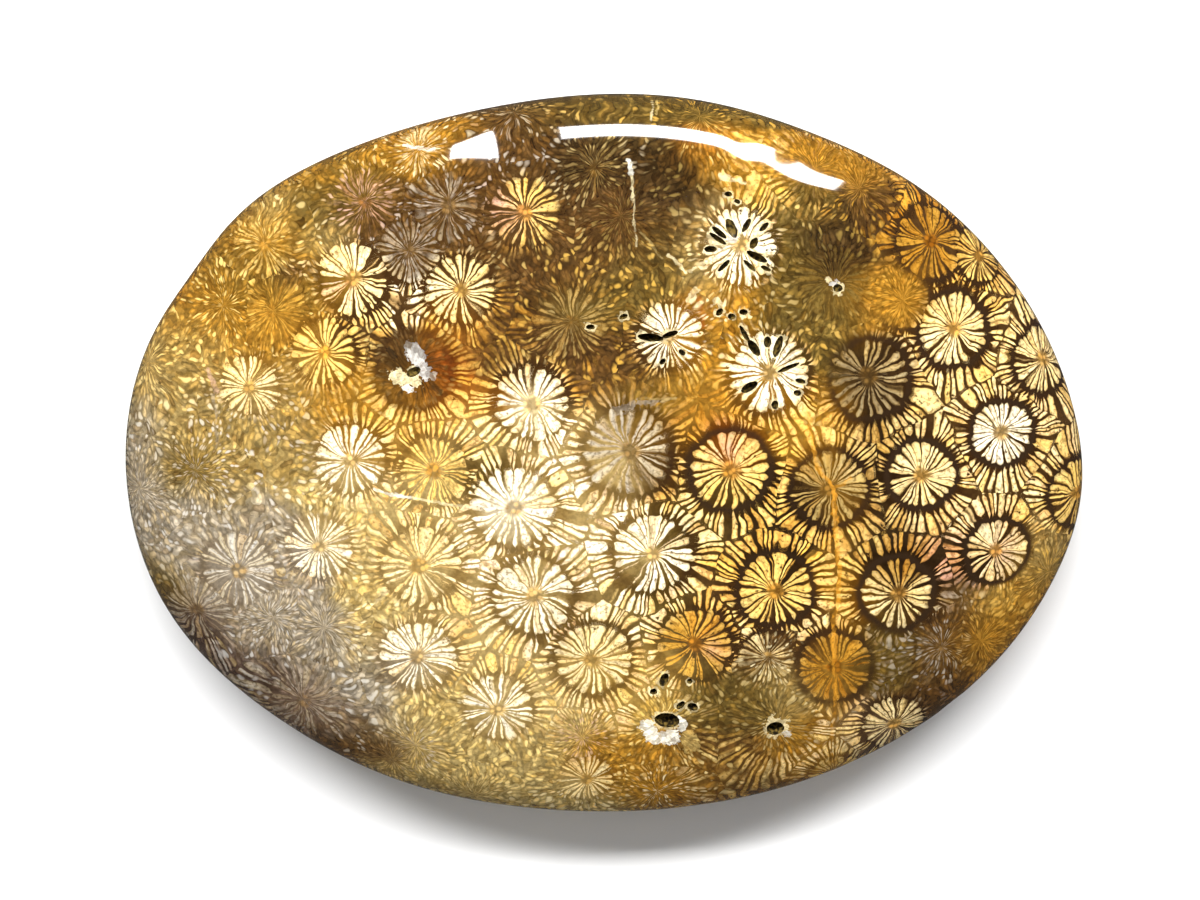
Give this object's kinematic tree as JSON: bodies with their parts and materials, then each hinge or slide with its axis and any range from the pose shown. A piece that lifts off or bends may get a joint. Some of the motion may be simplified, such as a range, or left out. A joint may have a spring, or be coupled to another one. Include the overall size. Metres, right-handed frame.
{
  "type": "fossil coral head",
  "caption": "Polished oval of silicified fossil coral: a low domed face patterned with flower-like corallites, a rounded rim and a flat ground back to rest on.",
  "frame": {"origin": "centre of the stone's bounding box in plan, on the flat back that it rests on", "axes": "+X along the oval's length, +Y across it, +Z out of the domed face"},
  "size_m": [0.0642, 0.0486, 0.015],
  "materials": {
    "polished_fossil_coral": "polished"
  },
  "bodies": {
    "root": {"coral_head": "polished_fossil_coral"}
  },
  "joints": []
}
